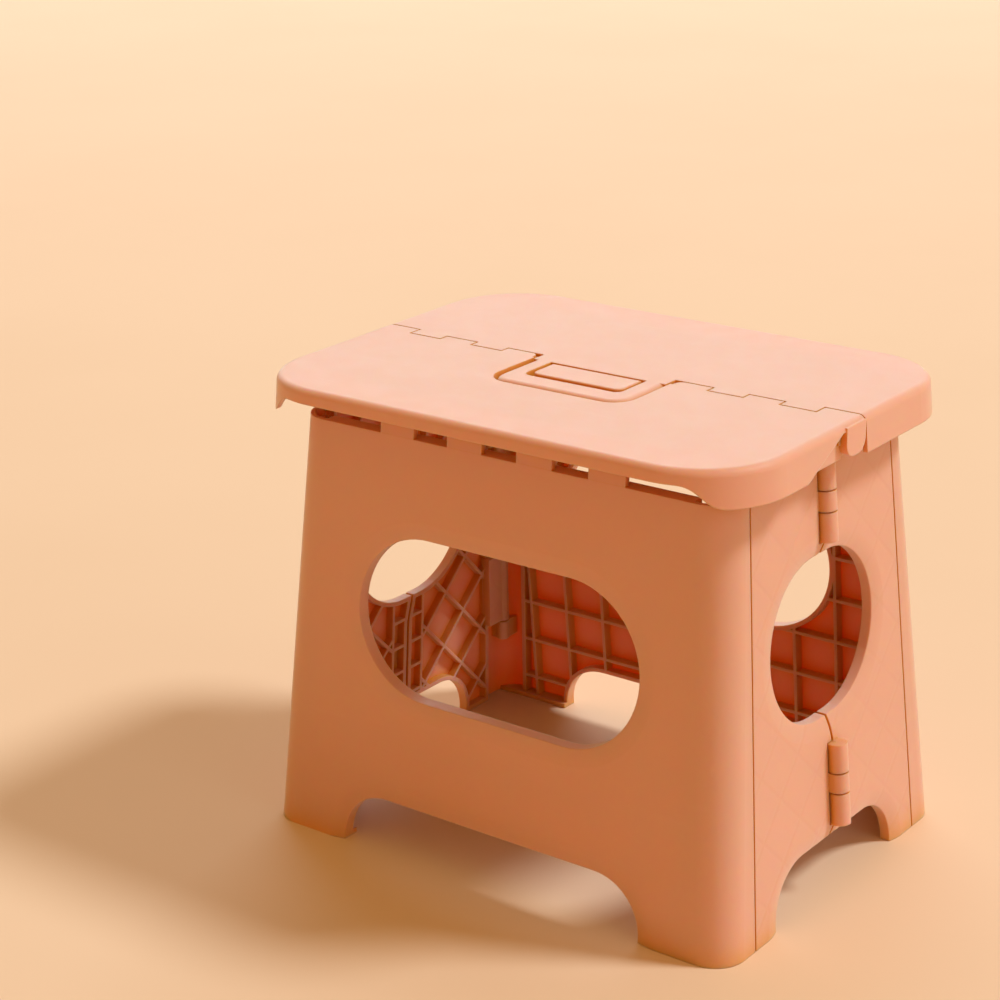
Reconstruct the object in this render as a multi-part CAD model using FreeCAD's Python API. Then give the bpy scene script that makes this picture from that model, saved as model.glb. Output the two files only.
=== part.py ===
import FreeCAD, Part
import math
import os

# A folding step stool in moulded plastic, in millimetres.
# X runs along the long side, Y to the rear, Z up, and the origin is on the floor under the centre.

# Overall sizes
stool_width = 259.6
stool_depth = 193.4
stool_height = 217.6

# Deck: two halves with a turned-down edge
deck_corner_radius = 40.5
deck_plate = 2.6
deck_wall = 2.2
deck_edge_round = 3.4
deep_skirt = 16.4
shallow_skirt = 6.6
skirt_slope = 0.085
skirt_curve_inset = 9.0
skirt_curve_run = 20.0
deck_rib_depth = 9.0
deck_rib_pitch = 24.0
deck_rib_clearance = 3.0

# Seam of the deck, with the slanted cut in its short skirts
finger_module = 17.9
finger_reach = 2.6
finger_corner = 3.5
end_finger_extra = 2.2
seam_shift = 3.4
seam_gap = 0.8
skirt_cut_start = 10.4
skirt_cut_run = 29.8
skirt_cut_roof = 3.0
skirt_cut_depth = 12.0
inner_wall_inset = 6.0
inner_wall_lift = 0.6

# Carrying handle
handle_half_width = 37.6
handle_reach = 36.2
handle_arm = 11.8
handle_grip = 12.9
handle_bridge = 1.6
handle_height = 9.0
handle_corner = 10.0
handle_hole_corner = 4.0
handle_round = 3.6
handle_gap = 1.3
tub_wall = 1.8
island_front_gap = 3.6
island_side_gap = 2.0
island_rear_gap = 1.2
island_round = 0.8

# Legs and ends
foot_inset_x = 2.9
foot_inset_y = 3.3
leg_lean = 5.12
end_lean = 3.92
panel_drop = 20.0
panel_skin = 2.2
leg_thickness = 7.5
end_thickness = 6.2
corner_radius = 14.7
corner_post = 1.5
flange_depth = 23.6
flange_top_depth = 17.2
corner_gap = 1.0
rib = 1.6
rim = 2.2
leg_rib_pitch_x = 22.4
leg_rib_pitch_z = 21.8
leg_rib_start = 12.4
end_rib_pitch = 21.0
end_post = 10.5
end_rung_pitch = 14.0
sole = 2.4
sole_depth = 10.0

# Openings and arches
front_opening_side = 51.0
front_opening_radius = 37.7
front_opening_lift = 3.5
end_opening_side = 50.5
end_opening_radius = 36.9
end_opening_lift = 7.9
front_arch_side = 45.0
end_arch_side = 43.1
arch_height = 26.0
arch_round = 24.0
flare_width = 8.0
flare_depth = 1.5
flare_start = 0.35

# Hinges
pin_fit = 0.04
hinge_end_gap = 0.35
deck_hinge_depth = 5.9
deck_hinge_inset = 2.0
deck_hinge_knuckle = 2.9
deck_hinge_pin = 1.3
deck_tab = 18.5
deck_tab_skin = 2.6
deck_tab_root = 3.0
deck_rod_cover = 1.5
centre_hinge_depth = 12.1
centre_hinge_knuckle = 5.5
centre_hinge_pin = 1.8
centre_hinge_play = 0.9
centre_pin_cover = 4.0
end_lug_inset = 0.6
end_lug = 8.0
end_lug_front = 8.3
end_lug_rear = 7.5
end_lug_depth = 14.9
end_lug_round = 6.5
end_lug_line = 7.4
barrel_clearance = 1.0
corner_axis_from_leg = 12.4
corner_axis_from_end = 7.2
corner_knuckle = 3.4
corner_pin = 1.5
corner_play = 0.3
corner_lug = 10.0
corner_lug_root = 0.5
corner_end_gap = 0.9
corner_first_lug = 34.0
corner_top_margin = 4.0
end_axis_proud = 1.9
end_knuckle = 4.5
end_pin = 1.7
end_pin_cover = 2.0
end_knuckle_gap = 0.7
middle_knuckle = 9.5
middle_knuckle_rise = 0.8
knuckle_above_arch = 5.9
knuckle_below_opening = 12.9
knuckle_above_opening = 5.6
knuckle_below_top = 0.8
split_lean = 2.9
cut_overrun = 1.0

V = FreeCAD.Vector
half_width = stool_width / 2
half_depth = stool_depth / 2
leg_foot = half_depth - foot_inset_y
end_foot = half_width - foot_inset_x
leg_slope = math.tan(math.radians(leg_lean))
end_slope = math.tan(math.radians(end_lean))
panel_top = stool_height - panel_drop
far = 2 * stool_width

# The openings sit a little above the middle of the panel that the arch leaves.
panel_middle = (arch_height + panel_top) / 2
front_opening_z = panel_middle + front_opening_lift
end_opening_z = panel_middle + end_opening_lift
front_opening_half = end_foot - front_opening_side
end_opening_half = leg_foot - end_opening_side
front_arch_half = end_foot - front_arch_side
end_arch_half = leg_foot - end_arch_side

# The corner and end hinges all aim at one point high above each end, so the four walls can fold.
corner_foot_x = end_foot - corner_axis_from_end
corner_foot_y = leg_foot - corner_axis_from_leg
apex_height = corner_foot_y / leg_slope
apex = V(corner_foot_x - end_slope * apex_height, 0, apex_height)
corner_foot = V(corner_foot_x, -corner_foot_y, 0)
corner_last_lug = panel_top - corner_top_margin - corner_lug
end_axis_shift = (corner_axis_from_end + end_axis_proud) / (1 - stool_height / 2 / apex_height)
end_axis_foot = V(corner_foot_x + end_axis_shift, 0, 0)
deck_hinge_z = stool_height - deck_hinge_depth
centre_hinge_z = stool_height - centre_hinge_depth


def knuckle_marks(low, high):
    """Ends of the three knuckles of a group: two outer ones and a shorter one between them."""
    middle = (low + high) / 2 + middle_knuckle_rise
    return [low, middle - middle_knuckle / 2, middle + middle_knuckle / 2, high]


end_opening_low = end_opening_z - end_opening_radius
end_opening_high = end_opening_z + end_opening_radius
lower_knuckles = knuckle_marks(arch_height + knuckle_above_arch, end_opening_low - knuckle_below_opening)
upper_knuckles = knuckle_marks(end_opening_high + knuckle_above_opening, panel_top - knuckle_below_top)


def front_face(z):
    """Y of the outer face of the front leg at a height."""
    return -(leg_foot - leg_slope * z)


def end_face(z):
    """X of the outer face of the right end at a height."""
    return end_foot - end_slope * z


def flange(z):
    """Depth of the leg's turned-back flange at a height."""
    return flange_depth + (flange_top_depth - flange_depth) * z / panel_top


deck_hinge_y = front_face(deck_hinge_z) + deck_hinge_inset


def block(bottom, top):
    """A solid between two four-cornered outlines."""
    low = [V(*p) for p in bottom]
    high = [V(*p) for p in top]
    sides = [[low[i], low[(i + 1) % 4], high[(i + 1) % 4], high[i]] for i in range(4)]
    faces = [Part.Face(Part.makePolygon(loop + loop[:1])) for loop in sides + [low, high]]
    return Part.Solid(Part.Shell(faces))


def rectangle(x0, x1, y0, y1, z):
    return [(x0, y0, z), (x1, y0, z), (x1, y1, z), (x0, y1, z)]


def box(x0, x1, y0, y1, z0, z1):
    return Part.makeBox(x1 - x0, y1 - y0, z1 - z0, V(x0, y0, z0))


def rod(radius, start, end):
    return Part.makeCylinder(radius, (end - start).Length, start, end - start)


def on_axis(foot, z):
    """The point at a height on a line that aims at the apex."""
    return foot + (apex - foot) * (z / apex.z)


def joined(shapes):
    return shapes[0].fuse(shapes[1:]).removeSplitter()


def half_turn(shape):
    turned = shape.copy()
    turned.rotate(V(0, 0, 0), V(0, 0, 1), 180)
    return turned


def front_to_rear(shape):
    return shape.mirror(V(0, 0, 0), V(0, 1, 0))


def left_to_right(shape):
    return shape.mirror(V(0, 0, 0), V(1, 0, 0))


def stadium(place, half_length, radius, height):
    """An outline with round ends; place maps along-the-wall and height to space."""
    run = half_length - radius
    low, high = height - radius, height + radius
    bottom = Part.makeLine(place(-run, low), place(run, low))
    right = Part.Arc(place(run, low), place(half_length, height), place(run, high)).toShape()
    top = Part.makeLine(place(run, high), place(-run, high))
    left = Part.Arc(place(-run, high), place(-half_length, height), place(-run, low)).toShape()
    return Part.Wire([bottom, right, top, left])


def arch(place, half_length, height, radius):
    """An outline with round shoulders that runs down through the floor."""
    low = -arch_height
    run = half_length - radius
    rise = height - radius
    turn = radius * math.sqrt(0.5)
    base = Part.makePolygon([place(-half_length, rise), place(-half_length, low)])
    floor = Part.makeLine(place(-half_length, low), place(half_length, low))
    side = Part.makeLine(place(half_length, low), place(half_length, rise))
    right = Part.Arc(place(half_length, rise), place(run + turn, rise + turn), place(run, height)).toShape()
    top = Part.makeLine(place(run, height), place(-run, height))
    left = Part.Arc(place(-run, height), place(-run - turn, rise + turn), place(-half_length, rise)).toShape()
    return Part.Wire(base.Edges + [floor, side, right, top, left])


def on_front(depth):
    """Places a point on the front leg's face, or a depth behind it."""
    return lambda s, z: V(s, front_face(z) + depth, z)


def on_end(depth, middle):
    """Places a point on the right end's face, or a depth behind it, counted from a middle line."""
    return lambda s, z: V(end_face(z) - depth, middle + s, z)


def front_opening(grow, depth):
    return stadium(on_front(depth), front_opening_half + grow, front_opening_radius + grow, front_opening_z)


def front_arch(grow, depth):
    return arch(on_front(depth), front_arch_half + grow, arch_height + grow, arch_round + grow)


def end_opening(lean):
    """The end's opening, whose middle follows the leaning split."""
    def outline(grow, depth):
        place = on_end(depth, lean)
        return stadium(place, end_opening_half + grow, end_opening_radius + grow, end_opening_z)
    return outline


def end_arch(grow, depth):
    return arch(on_end(depth, 0), end_arch_half + grow, arch_height + grow, arch_round + grow)


def through(outline, grow, way):
    """A prism through the panel, from outside its face to well behind it."""
    return Part.Face(outline(grow, -half_depth)).extrude(way)


def flare(outline):
    """The soft dish round an opening: it deepens in a curve towards the edge."""
    steps = 4
    wires = []
    for i in range(-1, steps + 1):
        share = i / steps
        depth = flare_depth * share * (flare_start + (1 - flare_start) * max(share, 0))
        wires.append(outline(flare_width * (1 - share), depth))
    return Part.makeLoft(wires, True, False)


front_through = V(0, stool_depth, 0)
end_through = V(-stool_depth, 0, 0)


# Deck

def rounded_plan(grow, z, rise, slope):
    """A slab with a rounded plan whose sides slope outward going down."""
    centre_x = half_width - deck_corner_radius
    centre_y = half_depth - deck_corner_radius
    high = deck_corner_radius + grow
    low = high + slope * rise
    parts = []
    for reach_x, reach_y in ((1, 0), (0, 1)):
        low_x, low_y = centre_x + reach_x * low, centre_y + reach_y * low
        high_x, high_y = centre_x + reach_x * high, centre_y + reach_y * high
        bottom = rectangle(-low_x, low_x, -low_y, low_y, z - rise)
        parts.append(block(bottom, rectangle(-high_x, high_x, -high_y, high_y, z)))
    for a in (-1, 1):
        for b in (-1, 1):
            parts.append(Part.makeCone(low, high, rise, V(a * centre_x, b * centre_y, z - rise)))
    return joined(parts)


def rounded_box(half_x, y0, y1, z0, z1, radius):
    """A block with rounded upright corners at its front."""
    solid = box(-half_x, half_x, y0, y1, z0, z1)
    uprights = [e for e in solid.Edges if abs(e.Vertexes[0].Z - e.Vertexes[-1].Z) > 1e-6]
    return solid.makeFillet(radius, [e for e in uprights if abs(e.Vertexes[0].Y - y0) < 1e-6])


def top_edges(shape, z):
    return [e for e in shape.Edges if abs(e.BoundBox.ZMin - z) < 1e-6 and abs(e.BoundBox.ZMax - z) < 1e-6]


def skirt_curve(side):
    """The S-curve from the shallow to the deep skirt, on the right (1) or the left (-1)."""
    end = half_width - skirt_curve_inset
    start = end - skirt_curve_run
    middle = (start + end) / 2
    shallow, deep = stool_height - shallow_skirt, stool_height - deep_skirt
    curve = Part.BezierCurve()
    heights = ((start, shallow), (middle, shallow), (middle, deep), (end, deep))
    curve.setPoles([V(side * x, -far, z) for x, z in heights])
    return curve.toShape(), V(side * start, -far, shallow), V(side * end, -far, deep)


def deck_shell():
    """The whole deck as one turned-down shell, before it is split along the seam."""
    outer = rounded_plan(-skirt_slope * deep_skirt, stool_height, deep_skirt, skirt_slope)
    outer = outer.makeFillet(deck_edge_round, top_edges(outer, stool_height))
    rise = deep_skirt - deck_plate
    shrink = -skirt_slope * rise - deck_wall
    inner = rounded_plan(shrink, stool_height - deck_plate, rise + cut_overrun, skirt_slope)
    right, right_start, right_end = skirt_curve(1)
    left, left_start, left_end = skirt_curve(-1)
    drop = V(0, 0, -deep_skirt)
    rest = Part.makePolygon([right_end, right_end + drop, left_end + drop, left_end])
    edges = [Part.makeLine(left_start, right_start), right, left] + rest.Edges
    cutter = Part.Face(Part.Wire(Part.__sortEdges__(edges))).extrude(V(0, 2 * far, 0))
    return outer.cut([inner, cutter])


def finger_edges():
    """Ends of the seam fingers on the right, from the handle out; the front half has the first and last."""
    count = int((half_width - handle_half_width) / finger_module)
    if count % 2 == 0:
        count -= 1
    edges = [handle_half_width + i * finger_module for i in range(count)]
    return edges + [half_width + finger_module]


def half_plan(front):
    """The ground covered by one half of the deck, fingers and all."""
    edges = finger_edges()
    side = -1 if front else 1
    gap = seam_gap / 2
    z0, z1 = stool_height - 2 * deep_skirt, stool_height + cut_overrun
    root = seam_shift + side * (finger_reach + gap)
    tip = seam_shift - side * (finger_reach - gap)
    end_tip = seam_shift + finger_reach + end_finger_extra + side * gap
    y0, y1 = sorted((root, side * far))
    pieces = [box(-far, far, y0, y1, z0, z1)]
    for i in range(len(edges) - 1):
        if (i % 2 == 0) == front:
            last = i == len(edges) - 2
            y0, y1 = sorted((end_tip if last else tip, root + side * cut_overrun))
            finger = box(edges[i] + gap, edges[i + 1] - gap, y0, y1, z0, z1)
            if i == 0:
                near_side = [e for e in finger.Edges if e.BoundBox.XMax < edges[0] + 2 * gap]
                near_corner = [e for e in near_side if e.BoundBox.YMin > y1 - gap]
                finger = finger.makeFillet(finger_corner, near_corner)
            pieces += [finger, left_to_right(finger)]
    plan = joined(pieces)
    if not front:
        room = box(edges[-2] - gap, far, -far, end_tip, z0, z1)
        plan = plan.cut([room, left_to_right(room)])
    return plan


def centre_knuckles(front):
    """Hinge barrels under the fingers, with webs up to the plate."""
    edges = finger_edges()
    edges[-1] = half_width - end_lug
    side = -1 if front else 1
    barrels = []
    for i in range(len(edges) - 1):
        if (i % 2 == 0) != front:
            continue
        x0, x1 = edges[i] + hinge_end_gap, edges[i + 1] - hinge_end_gap
        barrel = rod(centre_hinge_knuckle, V(x0, 0, centre_hinge_z), V(x1, 0, centre_hinge_z))
        y0, y1 = sorted((side * centre_hinge_knuckle, seam_shift - side * (finger_reach - seam_gap / 2)))
        web = box(x0, x1, y0, y1, centre_hinge_z, stool_height - deck_plate / 2)
        barrels += [barrel, web, left_to_right(barrel), left_to_right(web)]
    return barrels


def end_lugs():
    """Round-bottomed lugs that close the centre hinge at both ends of the front half."""
    x0, x1 = half_width - end_lug - hinge_end_gap, half_width - end_lug_inset
    z0, z1 = stool_height - end_lug_depth, stool_height - deck_plate / 2
    lug = box(x0, x1, -end_lug_front, end_lug_rear, z0, z1)
    low = [e for e in lug.Edges if e.BoundBox.ZMax < z0 + cut_overrun and e.BoundBox.XLength > cut_overrun]
    lug = lug.makeFillet(end_lug_round, low)
    return [lug, left_to_right(lug)]


def barrel_room(front):
    """Clear room round the other half's barrels."""
    edges = finger_edges()
    rooms = []
    for i in range(len(edges) - 1):
        if (i % 2 == 0) == front:
            continue
        start, end = V(edges[i], 0, centre_hinge_z), V(edges[i + 1], 0, centre_hinge_z)
        room = rod(centre_hinge_knuckle + barrel_clearance, start, end)
        rooms += [room, left_to_right(room)]
    return rooms


def centre_bores(radius):
    start = V(handle_half_width - cut_overrun, 0, centre_hinge_z)
    bore = rod(radius, start, V(half_width - centre_pin_cover, 0, centre_hinge_z))
    return [bore, left_to_right(bore)]


def deck_lugs():
    """Lugs under the front half for the hinge to the leg."""
    lugs = []
    for n in (-2, -1, 0, 1, 2):
        x0 = (2 * n - 0.5) * deck_tab + hinge_end_gap
        x1 = (2 * n + 0.5) * deck_tab - hinge_end_gap
        barrel = rod(deck_hinge_knuckle, V(x0, deck_hinge_y, deck_hinge_z), V(x1, deck_hinge_y, deck_hinge_z))
        y0, y1 = deck_hinge_y - deck_hinge_knuckle, deck_hinge_y + deck_hinge_knuckle
        lugs += [barrel, box(x0, x1, y0, y1, deck_hinge_z, stool_height - deck_plate / 2)]
    return lugs


def deck_hinge_bore(radius):
    end = 4.5 * deck_tab - deck_rod_cover
    return rod(radius, V(-end, deck_hinge_y, deck_hinge_z), V(end, deck_hinge_y, deck_hinge_z))


def deck_ribs():
    """A square grid under the plate of the front half, kept clear of the hinges."""
    z0, z1 = stool_height - deck_rib_depth, stool_height - deck_plate / 2
    y0, y1 = deck_hinge_y + 2 * deck_hinge_knuckle, -centre_hinge_knuckle - deck_rib_clearance
    x1 = half_width - skirt_slope * deep_skirt - deck_wall
    ribs = []
    columns = int(x1 / deck_rib_pitch)
    for n in range(-columns, columns + 1):
        x = n * deck_rib_pitch
        ribs.append(box(x - rib / 2, x + rib / 2, y0, y1, z0, z1))
    rows = max(2, int(round((y1 - y0) / deck_rib_pitch)))
    for n in range(rows + 1):
        y = y0 + (y1 - y0 - rib) * n / rows
        ribs.append(box(-x1, x1, y, y + rib, z0, z1))
    return ribs


def skirt_cut():
    """The slanted cut in the front half's short skirts, beside the end knuckle."""
    roof = stool_height - skirt_cut_roof
    foot = stool_height - deep_skirt
    floor = foot - deep_skirt
    slope_end = -skirt_cut_start - skirt_cut_run
    line = stool_height - end_lug_line
    outer = seam_shift + finger_reach + end_finger_extra + cut_overrun
    points = [(slope_end, floor), (slope_end, foot), (-skirt_cut_start, roof), (-end_lug_front, roof)]
    points += [(-end_lug_front, line), (outer, line), (outer, floor)]
    loop = [V(half_width - skirt_cut_depth, y, z) for y, z in points]
    cutter = Part.Face(Part.makePolygon(loop + loop[:1])).extrude(V(2 * skirt_cut_depth, 0, 0))
    return [cutter, left_to_right(cutter)]


def inner_wall():
    """A second wall behind the slanted cut."""
    x0 = half_width - inner_wall_inset
    y0 = -skirt_cut_start - skirt_cut_run
    z0 = stool_height - deep_skirt + inner_wall_lift
    wall = box(x0, x0 + rib, y0, -end_lug_front + rib, z0, stool_height - deck_plate / 2)
    return [wall, left_to_right(wall)]


handle_half = handle_half_width - seam_gap - handle_gap


def handle_outline(grow, y_end, z0, z1):
    return rounded_box(handle_half + grow, -handle_reach - grow, y_end, z0, z1, handle_corner + grow)


def handle_loop():
    """The grip: a rounded bar on two arms, bridged at the seam."""
    low = stool_height - handle_height
    body = handle_outline(0, 2 * centre_hinge_knuckle, low, stool_height)
    body = body.makeFillet(handle_round, [e for e in top_edges(body, stool_height) if e.BoundBox.YMin < 0])
    hole_front = -handle_reach + handle_grip
    z0, z1 = low - cut_overrun, stool_height + cut_overrun
    hole_half = handle_half_width - handle_arm
    return body.cut(rounded_box(hole_half, hole_front, -handle_bridge, z0, z1, handle_hole_corner))


def handle_tub():
    """The well in the front half that the handle lies in, with the island that fills its loop."""
    floor = stool_height - handle_height - handle_gap
    outer = handle_outline(handle_gap + tub_wall, -seam_gap, floor - tub_wall, stool_height - deck_plate / 2)
    well = handle_outline(handle_gap, far, floor, stool_height + cut_overrun)
    half_x = handle_half_width - handle_arm - island_side_gap
    y0 = -handle_reach + handle_grip + island_front_gap
    y1 = -handle_bridge - island_rear_gap
    island = rounded_box(half_x, y0, y1, floor - tub_wall / 2, stool_height, handle_hole_corner)
    island = island.makeFillet(island_round, top_edges(island, stool_height))
    return outer, well, island


shell = deck_shell()
tub, well, island = handle_tub()
front_lugs = deck_lugs()
grid = deck_ribs()

top_front = shell.common(half_plan(True)).cut(skirt_cut() + barrel_room(True))
top_front = top_front.fuse(grid + inner_wall() + centre_knuckles(True) + end_lugs() + front_lugs + [tub])
bores = centre_bores(centre_hinge_pin + pin_fit) + [deck_hinge_bore(deck_hinge_pin + pin_fit)]
top_front = top_front.cut([well] + bores).fuse(island).removeSplitter()

bridge_end = seam_shift + 2 * finger_reach
bridge = box(-handle_half, handle_half, -handle_bridge, bridge_end, stool_height - deck_plate, stool_height)
top_rear = shell.common(half_plan(False)).cut(barrel_room(False))
rear_pieces = [front_to_rear(s) for s in grid + front_lugs] + centre_knuckles(False)
top_rear = top_rear.fuse(rear_pieces + [handle_loop(), bridge])
bores = centre_bores(centre_hinge_pin + centre_hinge_play)
bores.append(front_to_rear(deck_hinge_bore(deck_hinge_pin + pin_fit)))
top_rear = top_rear.cut(bores).removeSplitter()


# Legs

def leg_block(z0, z1, inset, beyond):
    """Room between the front face, both end faces and the flanges' rear edges, or somewhat beyond them."""
    outlines = []
    for z in (z0, z1):
        x, y = end_face(z) - inset, front_face(z)
        outlines.append(rectangle(-x, x, y + inset, y + flange(z) + beyond, z))
    return block(*outlines)


def rounded_corners(solid, radius):
    """Rounds the two leaning front corners."""
    rising = [e for e in solid.Edges if abs(e.Vertexes[0].Z - e.Vertexes[-1].Z) > 1e-6]
    rising.sort(key=lambda e: e.BoundBox.Center.y)
    return solid.makeFillet(radius, rising[:2])


def leg_wall(depth0, depth1, side, z0, z1):
    """A layer of the front wall, between two depths and short of the ends by a margin."""
    outlines = []
    for z in (z0, z1):
        x, y = end_face(z) - side, front_face(z)
        outlines.append(rectangle(-x, x, y + depth0, y + depth1, z))
    return block(*outlines)


def leg_pockets():
    """The hollows between the ribs: a square grid that stops at rims round the opening and the arch."""
    side = corner_radius + corner_post + rim
    room = leg_wall(panel_skin, leg_thickness + cut_overrun, side, sole, panel_top - rim)
    room = room.cut([through(front_opening, rim, front_through), through(front_arch, rim, front_through)])
    columns = int(end_foot / leg_rib_pitch_x) + 1
    rows = int(panel_top / leg_rib_pitch_z) + 1
    half_cell = (leg_rib_pitch_x - rib) / 2
    cells = []
    for column in range(-columns, columns + 1):
        x = column * leg_rib_pitch_x
        for row in range(-1, rows):
            z0 = leg_rib_start + row * leg_rib_pitch_z + rib / 2
            z1 = z0 + leg_rib_pitch_z - rib
            cells.append(box(x - half_cell, x + half_cell, -half_depth, -corner_foot_y / 2, z0, z1))
    return room.common(Part.makeCompound(cells))


def deck_tabs():
    """Tabs along the top of the leg that carry the deck's hinge rod."""
    tabs = []
    root = panel_top - deck_tab_root
    y0 = front_face(root)
    half = deck_hinge_knuckle * math.sin(math.radians(37))
    for n in (-1.5, -0.5, 0.5, 1.5):
        x0, x1 = (2 * n - 0.5) * deck_tab, (2 * n + 0.5) * deck_tab
        low = rectangle(x0, x1, y0, y0 + deck_tab_skin, root)
        high = rectangle(x0, x1, deck_hinge_y - half, deck_hinge_y + half, deck_hinge_z)
        barrel = rod(deck_hinge_knuckle, V(x0, deck_hinge_y, deck_hinge_z), V(x1, deck_hinge_y, deck_hinge_z))
        tabs += [block(low, high), barrel]
    return tabs


def corner_levels(for_leg):
    """Heights of the corner hinge's barrels, in turn on the leg and on the end."""
    lugs = 4
    step = (corner_last_lug - corner_first_lug) / (lugs - 1)
    starts = [corner_first_lug + i * step for i in range(lugs)]
    if for_leg:
        return [(z, z + corner_lug) for z in starts]
    gaps = zip(starts[:-1], starts[1:])
    return [(a + corner_lug + corner_end_gap, b - corner_end_gap) for a, b in gaps]


def corner_room(z0, z1, x0, x1, y0, y1):
    """A block that leans with the corner hinge; its sides are measured from the hinge line."""
    outlines = []
    for z in (z0, z1):
        c = on_axis(corner_foot, z)
        outlines.append(rectangle(c.x + x0, c.x + x1, c.y + y0, c.y + y1, z))
    return block(*outlines)


def corner_lugs():
    """Barrels on the corner hinge line, rooted in the flange and in the front wall of the leg."""
    lugs = []
    half = 0.85 * corner_knuckle
    for z0, z1 in corner_levels(True):
        lugs.append(rod(corner_knuckle, on_axis(corner_foot, z0), on_axis(corner_foot, z1)))
        lugs.append(corner_room(z0, z1, 0, corner_axis_from_end - corner_lug_root, -half, half))
        lugs.append(corner_room(z0, z1, -half, half, -corner_axis_from_leg + corner_lug_root, 0))
    return lugs


def corner_bore(radius):
    top = corner_last_lug + corner_lug
    return rod(radius, on_axis(corner_foot, corner_first_lug), on_axis(corner_foot, top))


leg_body = rounded_corners(leg_block(0, panel_top, 0, 0), corner_radius)
inside = leg_block(-cut_overrun, panel_top + cut_overrun, panel_skin, flange_depth)
inside = rounded_corners(inside, corner_radius - panel_skin)
wall_side = corner_radius + corner_post
slab = leg_wall(0, leg_thickness, wall_side, -cut_overrun, panel_top + cut_overrun)
soles = leg_wall(0, sole_depth, 0, 0, sole)
openings = [through(front_opening, 0, front_through), through(front_arch, 0, front_through)]
flares = [flare(front_opening), flare(front_arch)]

front_leg = leg_body.cut([inside.cut([slab, soles]), leg_pockets()])
front_leg = front_leg.cut(flares).cut(openings)
lugs = [s.common(leg_body) for s in corner_lugs()]
front_leg = front_leg.fuse(lugs + [left_to_right(s) for s in lugs] + deck_tabs())
bore = corner_bore(corner_pin + pin_fit)
front_leg = front_leg.cut([bore, left_to_right(bore), deck_hinge_bore(deck_hinge_pin + pin_fit)])
front_leg = front_leg.removeSplitter()
rear_leg = half_turn(front_leg)


# Ends

def end_layer(depth0, depth1, from_seam, z0, z1):
    """A layer of the right end, between two depths, from the front corner seam to past its middle."""
    outlines = []
    for z in (z0, z1):
        x, y = end_face(z), front_face(z) + flange(z) + corner_gap + from_seam
        outlines.append(rectangle(x - depth1, x - depth0, y, 2 * split_lean, z))
    return block(*outlines)


def split_side(lean, gap):
    """The front side of the split, which leans aside between each knuckle group and the next opening."""
    marks = [(-cut_overrun, lean), (arch_height, lean), (lower_knuckles[0], 0), (lower_knuckles[3], 0)]
    marks += [(end_opening_low, lean), (end_opening_high, lean), (upper_knuckles[0], 0)]
    marks.append((panel_top + cut_overrun, 0))
    points = [V(0, y - gap, z) for z, y in marks]
    points += [V(0, -half_depth, marks[-1][0]), V(0, -half_depth, marks[0][0])]
    return Part.Face(Part.makePolygon(points + points[:1])).extrude(V(2 * half_width, 0, 0))


def end_pockets(lean):
    """The hollows between diagonal ribs and, beside the split, between rungs; every edge keeps a rim."""
    room = end_layer(panel_skin, end_thickness + cut_overrun, rim, sole, panel_top - rim)
    room = room.common(split_side(lean, seam_gap + rim))
    openings = [through(end_opening(lean), rim, end_through), through(end_arch, rim, end_through)]
    room = room.cut(openings)
    lattice = room.common(box(0, half_width, -half_depth, -end_post - rib, 0, panel_top))
    ladder = room.common(box(0, half_width, -end_post, half_depth, 0, panel_top))
    rungs = []
    for n in range(int(panel_top / end_rung_pitch) + 1):
        z = sole + (n + 1) * end_rung_pitch
        rungs.append(box(0, half_width, -half_depth, half_depth, z - rib, z))
    side = end_rib_pitch - rib
    step = end_rib_pitch / math.sqrt(2)
    columns = int(half_depth / step) + 1
    rows = int(stool_height / step) + 1
    cells = []
    for column in range(columns + 1):
        for row in range(-rows, rows + 1):
            if (column + row) % 2 == 1:
                continue
            cell = box(0, half_width, -side / 2, side / 2, -side / 2, side / 2)
            cell.rotate(V(0, 0, 0), V(1, 0, 0), 45)
            cell.translate(V(0, -column * step, end_opening_z + row * step))
            cells.append(cell)
    return [lattice.common(Part.makeCompound(cells)), ladder.cut(rungs)]


def end_levels(middle):
    """Heights of the end hinge's knuckles: the middle ones, or the pair above and below them."""
    levels = []
    half = end_knuckle_gap / 2
    for marks in (lower_knuckles, upper_knuckles):
        if middle:
            levels.append((marks[1] + half, marks[2] - half))
        else:
            levels += [(marks[0], marks[1] - half), (marks[2] + half, marks[3])]
    return levels


def end_rod(radius, z0, z1):
    return rod(radius, on_axis(end_axis_foot, z0), on_axis(end_axis_foot, z1))


def end_webs(levels):
    """Webs from the panel out to the knuckles."""
    webs = []
    for z0, z1 in levels:
        outlines = []
        for z in (z0, z1):
            x0, x1 = end_face(z) - panel_skin, on_axis(end_axis_foot, z).x
            outlines.append(rectangle(x0, x1, -end_knuckle, 0, z))
        webs.append(block(*outlines))
    return webs


def end_arms():
    """Barrels on the corner hinge line, each with an arm to the end's edge."""
    parts = []
    for z0, z1 in corner_levels(False):
        reach = flange(z0) + corner_gap - corner_axis_from_leg + rim
        parts.append(rod(corner_knuckle, on_axis(corner_foot, z0), on_axis(corner_foot, z1)))
        parts.append(corner_room(z0, z1, -0.6 * corner_knuckle, 0.75 * corner_knuckle, 0, reach))
    return parts


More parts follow.
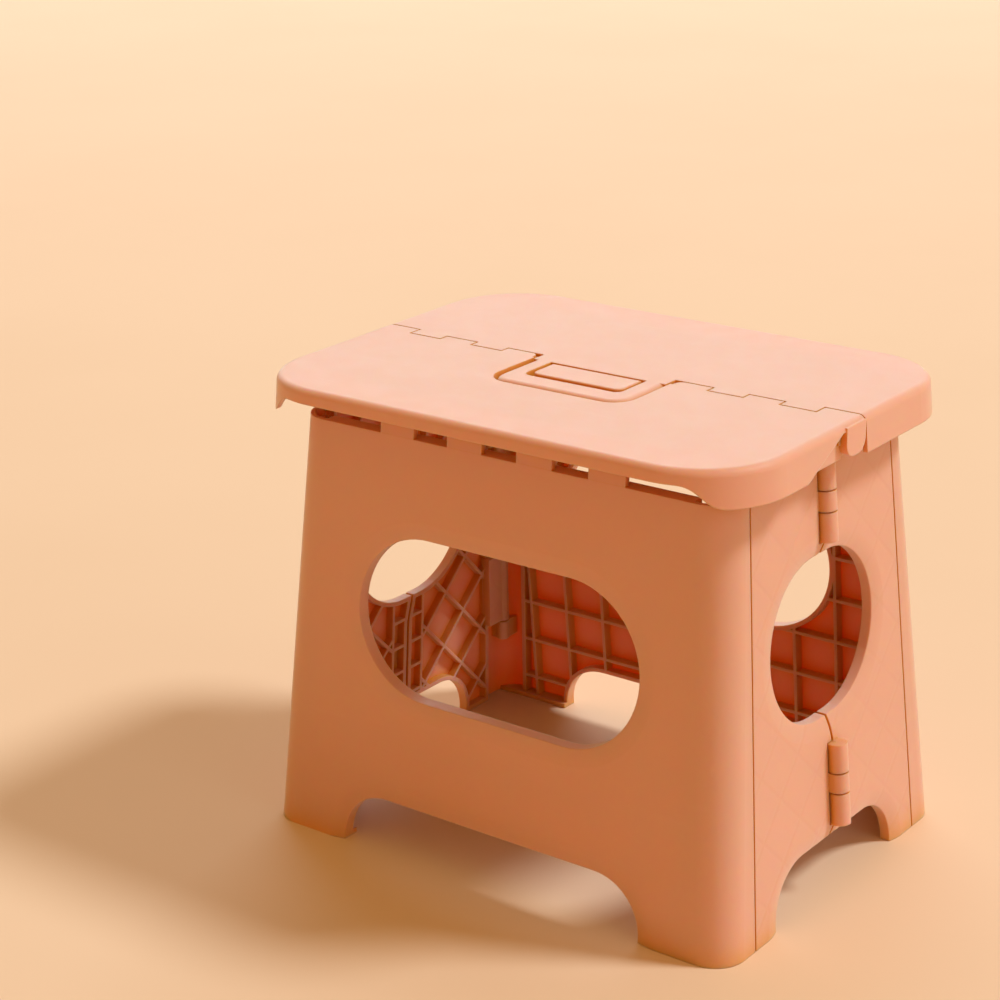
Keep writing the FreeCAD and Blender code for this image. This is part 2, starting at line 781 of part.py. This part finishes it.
def end_half(middle, lean, play):
    """The front half of the right end, with the middle knuckles or the outer pairs."""
    panel = end_layer(0, end_thickness, 0, 0, panel_top).common(split_side(lean, seam_gap))
    opening = end_opening(lean)
    panel = panel.cut(end_pockets(lean)).cut([flare(opening), flare(end_arch)])
    panel = panel.cut([through(opening, 0, end_through), through(end_arch, 0, end_through)])
    room = end_knuckle + end_knuckle_gap
    others = end_levels(not middle)
    panel = panel.cut([end_rod(room, a - end_knuckle_gap, b + end_knuckle_gap) for a, b in others])
    own = end_levels(middle)
    barrels = [end_rod(end_knuckle, a, b) for a, b in own]
    panel = panel.fuse(barrels + end_webs(own) + end_arms())
    bores = [corner_bore(corner_pin + play)]
    for marks in (lower_knuckles, upper_knuckles):
        bores.append(end_rod(end_pin + pin_fit, marks[0] - cut_overrun, marks[3] - end_pin_cover))
    return panel.cut(bores).removeSplitter()


right_front_end = end_half(True, -split_lean, pin_fit)
right_rear_end = front_to_rear(end_half(False, split_lean, pin_fit))
left_front_end = half_turn(right_rear_end)
left_rear_end = half_turn(end_half(True, -split_lean, corner_play))


# Pins

def straight_pin(radius, start, end):
    pin = rod(radius, start, end)
    return pin.makeChamfer(0.25 * radius, [e for e in pin.Edges if e.Closed])


def end_group_pin(marks):
    low, high = marks[0] + hinge_end_gap, marks[3] - end_pin_cover - hinge_end_gap
    return straight_pin(end_pin, on_axis(end_axis_foot, low), on_axis(end_axis_foot, high))


rod_end = 4.5 * deck_tab - deck_rod_cover - hinge_end_gap
rod_start, rod_stop = V(-rod_end, deck_hinge_y, deck_hinge_z), V(rod_end, deck_hinge_y, deck_hinge_z)
front_deck_rod = straight_pin(deck_hinge_pin, rod_start, rod_stop)
rear_deck_rod = half_turn(front_deck_rod)
pin_start = V(handle_half_width + cut_overrun, 0, centre_hinge_z)
pin_stop = V(half_width - centre_pin_cover - hinge_end_gap, 0, centre_hinge_z)
right_centre_pin = straight_pin(centre_hinge_pin, pin_start, pin_stop)
left_centre_pin = left_to_right(right_centre_pin)
pin_start = on_axis(corner_foot, corner_first_lug + hinge_end_gap)
pin_stop = on_axis(corner_foot, corner_last_lug + corner_lug - hinge_end_gap)
right_front_corner_pin = straight_pin(corner_pin, pin_start, pin_stop)
left_front_corner_pin = left_to_right(right_front_corner_pin)
left_rear_corner_pin = half_turn(right_front_corner_pin)
right_rear_corner_pin = half_turn(left_front_corner_pin)
right_lower_end_pin = end_group_pin(lower_knuckles)
right_upper_end_pin = end_group_pin(upper_knuckles)
left_lower_end_pin = half_turn(right_lower_end_pin)
left_upper_end_pin = half_turn(right_upper_end_pin)

nodes = {
    "top_front": top_front,
    "top_rear": top_rear,
    "front_leg": front_leg,
    "rear_leg": rear_leg,
    "right_front_end": right_front_end,
    "right_rear_end": right_rear_end,
    "left_front_end": left_front_end,
    "left_rear_end": left_rear_end,
    "front_deck_rod": front_deck_rod,
    "rear_deck_rod": rear_deck_rod,
    "right_centre_pin": right_centre_pin,
    "left_centre_pin": left_centre_pin,
    "right_front_corner_pin": right_front_corner_pin,
    "left_front_corner_pin": left_front_corner_pin,
    "right_rear_corner_pin": right_rear_corner_pin,
    "left_rear_corner_pin": left_rear_corner_pin,
    "right_lower_end_pin": right_lower_end_pin,
    "right_upper_end_pin": right_upper_end_pin,
    "left_lower_end_pin": left_lower_end_pin,
    "left_upper_end_pin": left_upper_end_pin,
}

os.makedirs("parts", exist_ok=True)
for name, shape in nodes.items():
    print(name, len(shape.Solids), "solid, volume %.0f, %d faces" % (shape.Volume, len(shape.Faces)))
    shape.exportStep("parts/" + name + ".step")
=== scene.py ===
import math

import bpy
from mathutils import Matrix, Vector

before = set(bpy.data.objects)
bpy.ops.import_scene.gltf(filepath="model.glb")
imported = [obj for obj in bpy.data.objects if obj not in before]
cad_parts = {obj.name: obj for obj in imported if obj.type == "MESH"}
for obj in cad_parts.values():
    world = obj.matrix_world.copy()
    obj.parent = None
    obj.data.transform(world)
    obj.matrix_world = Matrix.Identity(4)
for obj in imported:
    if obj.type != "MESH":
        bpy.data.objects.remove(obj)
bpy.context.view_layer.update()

# Leg panels
# Two alike mouldings in salmon-pink polypropylene: a thin skin that turns round the corners as a flange,
# with a square grid of ribs behind it. Each is shot in one piece, with a fine matte grain from the mould.

pink = (0.815, 0.40, 0.285, 1)
pale_pink = (0.83, 0.42, 0.305, 1)
rubbed_pink = (0.90, 0.52, 0.40, 1)
# Painted shade: a deeper orange laid into crevices, gaps between parts, deep rib cells and near the floor.
painted_shade_orange = (0.74, 0.28, 0.0, 1)
pink_drift = 0.5
painted_shade_reach = 0.022
edge_softness = 0.0009
grain_depth = 0.0001
leg_scuffs = 0.12


def add_node(tree, kind, settings=None, **values):
    """Adds a node; settings are its own properties, the other values fill its input sockets."""
    node = tree.nodes.new(kind)
    for name, value in (settings or {}).items():
        setattr(node, name, value)
    for name, value in values.items():
        node.inputs[name.replace("_", " ")].default_value = value
    return node


def new_group(name, inputs, outputs):
    """Starts a shader node group with named sockets."""
    tree = bpy.data.node_groups.new(name, "ShaderNodeTree")
    for label, kind, value in inputs:
        tree.interface.new_socket(label, in_out="INPUT", socket_type=kind).default_value = value
    for label, kind in outputs:
        tree.interface.new_socket(label, in_out="OUTPUT", socket_type=kind)
    return tree, tree.nodes.new("NodeGroupInput"), tree.nodes.new("NodeGroupOutput")


def place_group(tree, group, **values):
    """Places a node group in a material, with its own values."""
    return add_node(tree, "ShaderNodeGroup", {"node_tree": group}, **values)


def fade(tree, source, low, high, start, end):
    """Maps a value smoothly from one span to another."""
    node = add_node(tree, "ShaderNodeMapRange", {"interpolation_type": "SMOOTHSTEP"})
    for socket, value in zip(("From Min", "From Max", "To Min", "To Max"), (low, high, start, end)):
        node.inputs[socket].default_value = value
    tree.links.new(source, node.inputs["Value"])
    return node.outputs["Result"]


def calculate(tree, operation, first, second):
    """A math node; its two sides are sockets or numbers."""
    node = add_node(tree, "ShaderNodeMath", {"operation": operation})
    for socket, value in zip(node.inputs, (first, second)):
        if isinstance(value, (int, float)):
            socket.default_value = value
        else:
            tree.links.new(value, socket)
    return node.outputs["Value"]


def tinted(tree, amount, first, second):
    """Mixes two colours, which are sockets or values."""
    node = add_node(tree, "ShaderNodeMix", {"data_type": "RGBA"})
    tree.links.new(amount, node.inputs["Factor"])
    for label, value in zip(("A", "B"), (first, second)):
        socket = [s for s in node.inputs if s.name == label and s.type == "RGBA"][0]
        if isinstance(value, tuple):
            socket.default_value = value
        else:
            tree.links.new(value, socket)
    return [s for s in node.outputs if s.type == "RGBA"][0]


def moulded_skin_group():
    """Colour drift, grain and unevenness that every moulded face has."""
    inputs = [
        ("Pink", "NodeSocketColor", pink),
        ("Pale", "NodeSocketColor", pale_pink),
        ("Drift", "NodeSocketFloat", pink_drift),
    ]
    outputs = [
        ("Color", "NodeSocketColor"),
        ("Roughness", "NodeSocketFloat"),
        ("Height", "NodeSocketFloat"),
    ]
    tree, start, end = new_group("moulded_skin", inputs, outputs)
    place = add_node(tree, "ShaderNodeTexCoord").outputs["Object"]
    drift = add_node(tree, "ShaderNodeTexNoise", Scale=11.0, Detail=3.0, Roughness=0.55)
    peel = add_node(tree, "ShaderNodeTexNoise", Scale=130.0, Detail=2.0)
    grain = add_node(tree, "ShaderNodeTexNoise", Scale=1700.0, Detail=2.0, Roughness=0.6)
    for noise in (drift, peel, grain):
        tree.links.new(place, noise.inputs["Vector"])
    paler = fade(tree, drift.outputs["Fac"], 0.3, 0.7, 0.0, 1.0)
    paler = calculate(tree, "MULTIPLY", paler, start.outputs["Drift"])
    tree.links.new(tinted(tree, paler, start.outputs["Pink"], start.outputs["Pale"]), end.inputs["Color"])
    fine_rough = fade(tree, grain.outputs["Fac"], 0.3, 0.7, 0.40, 0.52)
    wide_rough = fade(tree, peel.outputs["Fac"], 0.3, 0.7, -0.02, 0.04)
    tree.links.new(calculate(tree, "ADD", fine_rough, wide_rough), end.inputs["Roughness"])
    grain_height = calculate(tree, "MULTIPLY", grain.outputs["Fac"], 0.35)
    tree.links.new(calculate(tree, "ADD", grain_height, peel.outputs["Fac"]), end.inputs["Height"])
    return tree


def handling_scuffs_group():
    """Fine rubbed streaks in patches, in two directions."""
    inputs = [("Amount", "NodeSocketFloat", leg_scuffs)]
    tree, start, end = new_group("handling_scuffs", inputs, [("Scuff", "NodeSocketFloat")])
    place = add_node(tree, "ShaderNodeTexCoord").outputs["Object"]
    streaks = []
    for turn in (0.5, -0.9):
        way = add_node(tree, "ShaderNodeMapping", Rotation=(0.3, 0.2, turn), Scale=(9.0, 420.0, 120.0))
        tree.links.new(place, way.inputs["Vector"])
        noise = add_node(tree, "ShaderNodeTexNoise", Scale=1.0, Detail=3.0)
        tree.links.new(way.outputs["Vector"], noise.inputs["Vector"])
        streaks.append(fade(tree, noise.outputs["Fac"], 0.60, 0.74, 0.0, 1.0))
    patch = add_node(tree, "ShaderNodeTexNoise", Scale=16.0, Detail=2.0)
    tree.links.new(place, patch.inputs["Vector"])
    where = fade(tree, patch.outputs["Fac"], 0.45, 0.68, 0.0, 1.0)
    mask = calculate(tree, "MULTIPLY", calculate(tree, "MAXIMUM", *streaks), where)
    tree.links.new(calculate(tree, "MULTIPLY", mask, start.outputs["Amount"]), end.inputs["Scuff"])
    return tree


def painted_crevice_shade_group():
    """How enclosed a spot is, from 0 in the open to 1 in a narrow gap or a deep cell; it masks the painted
    shade.
    """
    inputs = [("Reach", "NodeSocketFloat", painted_shade_reach)]
    tree, start, end = new_group("painted_crevice_shade", inputs, [("Depth", "NodeSocketFloat")])
    openness = add_node(tree, "ShaderNodeAmbientOcclusion", {"samples": 6})
    tree.links.new(start.outputs["Reach"], openness.inputs["Distance"])
    tree.links.new(fade(tree, openness.outputs["AO"], 0.3, 0.95, 1.0, 0.0), end.inputs["Depth"])
    return tree


moulded_skin = moulded_skin_group()
handling_scuffs = handling_scuffs_group()
painted_crevice_shade = painted_crevice_shade_group()


def pink_plastic(name, scuffs, relief=None):
    """Matte moulded plastic with painted shade in its hollows; relief, where it is given, adds lines to the
    skin's colour and height.
    """
    material = bpy.data.materials.new(name)
    material.use_nodes = True
    tree = material.node_tree
    shader = tree.nodes["Principled BSDF"]
    shader.inputs["Subsurface Weight"].default_value = 0.6
    shader.inputs["Subsurface Radius"].default_value = (1.0, 0.36, 0.08)
    shader.inputs["Subsurface Scale"].default_value = 0.006
    shader.inputs["Specular IOR Level"].default_value = 0.35
    shader.inputs["Sheen Weight"].default_value = 0.6
    shader.inputs["Sheen Roughness"].default_value = 0.4
    skin = place_group(tree, moulded_skin, Pink=pink, Pale=pale_pink, Drift=pink_drift)
    rubbed = place_group(tree, handling_scuffs, Amount=scuffs)
    crevice_shade_node = place_group(tree, painted_crevice_shade, Reach=painted_shade_reach)
    color = tinted(tree, rubbed.outputs["Scuff"], skin.outputs["Color"], rubbed_pink)
    # Painted shade: the colour turns a deeper orange where the spot is enclosed.
    color = tinted(tree, crevice_shade_node.outputs["Depth"], color, painted_shade_orange)
    height = calculate(tree, "SUBTRACT", skin.outputs["Height"], rubbed.outputs["Scuff"])
    if relief:
        color, height = relief(tree, color, height)
    tree.links.new(color, shader.inputs["Base Color"])
    rubbed_rough = calculate(tree, "MULTIPLY", rubbed.outputs["Scuff"], 0.15)
    rough = calculate(tree, "ADD", skin.outputs["Roughness"], rubbed_rough)
    tree.links.new(rough, shader.inputs["Roughness"])
    softened = add_node(tree, "ShaderNodeBevel", {"samples": 4}, Radius=edge_softness)
    bump = add_node(tree, "ShaderNodeBump", Strength=0.25, Distance=grain_depth)
    tree.links.new(height, bump.inputs["Height"])
    tree.links.new(softened.outputs["Normal"], bump.inputs["Normal"])
    tree.links.new(bump.outputs["Normal"], shader.inputs["Normal"])
    return material


def dress(node, material):
    """Gives a piece its material."""
    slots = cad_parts[node].data.materials
    slots.clear()
    slots.append(material)


leg_plastic = pink_plastic("leg_plastic", leg_scuffs)
for leg in ("front_leg", "rear_leg"):
    dress(leg, leg_plastic)

# Folding ends
# Each end is two mouldings of the same pink plastic, hinged down the middle on proud knuckles so that they
# fold inward. Behind their skin the ribs run diagonally, and faint sunken lines of them show on the outside.

end_scuffs = 0.12
end_rib_pitch = 0.021
end_grid_height = 0.1197
# Widths of the lines are in rib pitches, depths in grain depths.
rib_line_width = 0.09
rib_line_depth = 3.0
rib_line_shade = 0.05
# Painted shade along the sunken rib lines, a little darker than the skin.
rib_line_painted_shade = (0.66, 0.22, 0.12, 1)
ribs_per_metre = 1 / (end_rib_pitch * math.sqrt(2))
rib_offset = 0.5 - end_grid_height * ribs_per_metre


def rib_ghost_group():
    """Faint lines on the outside where ribs stand behind the skin; whole numbers of U and V are ribs."""
    inputs = [
        ("U", "NodeSocketFloat", 0.0),
        ("V", "NodeSocketFloat", 0.0),
        ("Width", "NodeSocketFloat", rib_line_width),
    ]
    tree, start, end = new_group("rib_ghost", inputs, [("Ghost", "NodeSocketFloat")])
    lines = []
    for label in ("U", "V"):
        shifted = calculate(tree, "ADD", start.outputs[label], 0.5)
        off = calculate(tree, "SUBTRACT", calculate(tree, "FRACT", shifted, 0.0), 0.5)
        reach = calculate(tree, "DIVIDE", calculate(tree, "ABSOLUTE", off, 0.0), start.outputs["Width"])
        lines.append(fade(tree, reach, 0.0, 1.0, 1.0, 0.0))
    tree.links.new(calculate(tree, "MAXIMUM", *lines), end.inputs["Ghost"])
    return tree


rib_ghost = rib_ghost_group()


def end_rib_lines(tree, color, height):
    """Adds the lines of the diagonal ribs to the height of an end's skin, and a painted shade along them to
    its colour.
    """
    place = add_node(tree, "ShaderNodeTexCoord").outputs["Object"]
    ghost = place_group(tree, rib_ghost, Width=rib_line_width)
    for label, lean in (("U", ribs_per_metre), ("V", -ribs_per_metre)):
        along = add_node(tree, "ShaderNodeVectorMath", {"operation": "DOT_PRODUCT"})
        along.inputs[1].default_value = (0, lean, ribs_per_metre)
        tree.links.new(place, along.inputs[0])
        tree.links.new(calculate(tree, "ADD", along.outputs["Value"], rib_offset), ghost.inputs[label])
    shade = calculate(tree, "MULTIPLY", ghost.outputs["Ghost"], rib_line_shade)
    sunk = calculate(tree, "MULTIPLY", ghost.outputs["Ghost"], rib_line_depth)
    return tinted(tree, shade, color, rib_line_painted_shade), calculate(tree, "SUBTRACT", height, sunk)


end_plastic = pink_plastic("end_plastic", end_scuffs, end_rib_lines)
for end in ("right_front_end", "right_rear_end", "left_front_end", "left_rear_end"):
    dress(end, end_plastic)

# Deck halves
# The step itself: two turned-down plates of the same plastic that meet in a line of square fingers. The rear
# half carries the handle, a loop that lies in a well of the front half, and both are rubbed by shoes.

deck_scuffs = 0.2
deck_plastic = pink_plastic("deck_plastic", deck_scuffs)
for half in ("top_front", "top_rear"):
    dress(half, deck_plastic)

# Hinge pins
# Straight pieces of drawn steel wire with chamfered ends, pushed through the knuckles of the legs, the ends
# and the deck. Drawing leaves the steel bright, with fine dull marks.

dull_steel = (0.50, 0.50, 0.50, 1)
bright_steel = (0.68, 0.68, 0.67, 1)


def drawn_wire():
    """Bare steel whose shade and roughness change in fine marks."""
    material = bpy.data.materials.new("drawn_wire")
    material.use_nodes = True
    tree = material.node_tree
    shader = tree.nodes["Principled BSDF"]
    shader.inputs["Metallic"].default_value = 1.0
    place = add_node(tree, "ShaderNodeTexCoord").outputs["Object"]
    marks = add_node(tree, "ShaderNodeTexNoise", Scale=900.0, Detail=3.0)
    tree.links.new(place, marks.inputs["Vector"])
    shade = fade(tree, marks.outputs["Fac"], 0.35, 0.65, 0.0, 1.0)
    tree.links.new(tinted(tree, shade, dull_steel, bright_steel), shader.inputs["Base Color"])
    tree.links.new(fade(tree, marks.outputs["Fac"], 0.3, 0.7, 0.25, 0.42), shader.inputs["Roughness"])
    return material


wire = drawn_wire()
pins = ["front_deck_rod", "rear_deck_rod", "right_centre_pin", "left_centre_pin"]
pins += ["%s_%s_corner_pin" % (side, row) for side in ("right", "left") for row in ("front", "rear")]
pins += ["%s_%s_end_pin" % (side, level) for side in ("right", "left") for level in ("lower", "upper")]
for pin in pins:
    dress(pin, wire)

# Floor
# A plain pale floor in a warm light tone, painted matte with a slight unevenness.
# It is wide enough to fill the view and to send warm light up under the stool.

floor_size = 14.0
floor_tone = (0.85, 0.59, 0.40, 1)
floor_pale_tone = (0.865, 0.605, 0.415, 1)
bpy.ops.mesh.primitive_plane_add(size=floor_size)
floor = bpy.context.object
floor.name = "floor"
floor_paint = bpy.data.materials.new("floor_paint")
floor_paint.use_nodes = True
floor_tree = floor_paint.node_tree
floor_shader = floor_tree.nodes["Principled BSDF"]
floor_shader.inputs["Roughness"].default_value = 0.7
floor_noise = add_node(floor_tree, "ShaderNodeTexNoise", Scale=3.0, Detail=4.0)
floor_place = add_node(floor_tree, "ShaderNodeTexCoord").outputs["Object"]
floor_tree.links.new(floor_place, floor_noise.inputs["Vector"])
floor_paler = fade(floor_tree, floor_noise.outputs["Fac"], 0.3, 0.7, 0.0, 1.0)
floor_color = tinted(floor_tree, floor_paler, floor_tone, floor_pale_tone)
floor_tree.links.new(floor_color, floor_shader.inputs["Base Color"])
floor.data.materials.append(floor_paint)

# Light
# Soft cool lamps: a key from the right, the rear and above, a wide panel far behind the stool whose sheen
# lies on the deck, and a small panel at the right for the ends. The surround is warm and looks pale itself.

panel_daylight = (0.74, 0.87, 1.0)
key_daylight = (0.84, 0.95, 1.0)
key_from = Vector((0.47, 0.33, 0.71))
key_spread = math.radians(12)
warm_glow = (1.0, 0.58, 0.08, 1)
pale_surround = (0.95, 0.80, 0.62, 1)


def soft_panel(name, place, width, height, energy):
    """A rectangular lamp that faces the stool."""
    data = bpy.data.lights.new(name, "AREA")
    data.shape = "RECTANGLE"
    data.size = width
    data.size_y = height
    data.energy = energy
    data.color = panel_daylight
    lamp = bpy.data.objects.new(name, data)
    lamp.location = place
    lamp.rotation_euler = Vector(place).to_track_quat("Z", "Y").to_euler()
    bpy.context.scene.collection.objects.link(lamp)


soft_panel("rear_panel", place=(-3.4, 4.9, 2.9), width=6.5, height=3.9, energy=190.0)
soft_panel("side_panel", place=(3.0, -0.3, 1.1), width=2.0, height=2.0, energy=14.0)
key_data = bpy.data.lights.new("key", "SUN")
key_data.energy = 2.1
key_data.color = key_daylight
key_data.angle = key_spread
key = bpy.data.objects.new("key", key_data)
key.rotation_euler = key_from.to_track_quat("Z", "Y").to_euler()
bpy.context.scene.collection.objects.link(key)
world = bpy.data.worlds.new("surround")
bpy.context.scene.world = world
world.use_nodes = True
world_tree = world.node_tree
glow = world_tree.nodes["Background"]
glow.inputs["Color"].default_value = warm_glow
glow.inputs["Strength"].default_value = 0.44
pale = add_node(world_tree, "ShaderNodeBackground", Color=pale_surround, Strength=1.0)
ray = add_node(world_tree, "ShaderNodeLightPath").outputs
seen = calculate(world_tree, "MAXIMUM", ray["Is Camera Ray"], ray["Is Glossy Ray"])
seen = calculate(world_tree, "MAXIMUM", seen, ray["Is Transmission Ray"])
either = add_node(world_tree, "ShaderNodeMixShader")
world_tree.links.new(seen, either.inputs["Fac"])
world_tree.links.new(glow.outputs["Background"], either.inputs[1])
world_tree.links.new(pale.outputs["Background"], either.inputs[2])
world_tree.links.new(either.outputs["Shader"], world_tree.nodes["World Output"].inputs["Surface"])

# Camera
# A long lens about a metre from the stool, half a metre above the floor, at the front right.
# It looks down on the deck and is turned a little, so that the uprights lean.

camera_place = (0.58603, -0.83916, 0.52608)
camera_azimuth = math.radians(37.486)
camera_elevation = math.radians(19.822)
camera_roll = math.radians(-1.146)
camera_data = bpy.data.cameras.new("camera")
camera_data.sensor_width = 36.0
camera_data.lens = 86.6
camera = bpy.data.objects.new("camera", camera_data)
turn = Matrix.Rotation(camera_azimuth, 4, "Z") @ Matrix.Rotation(math.pi / 2 - camera_elevation, 4, "X")
roll = Matrix.Rotation(camera_roll, 4, "Z")
camera.matrix_world = Matrix.Translation(camera_place) @ turn @ roll
bpy.context.scene.collection.objects.link(camera)
bpy.context.scene.camera = camera
bpy.context.scene.view_settings.view_transform = "Standard"
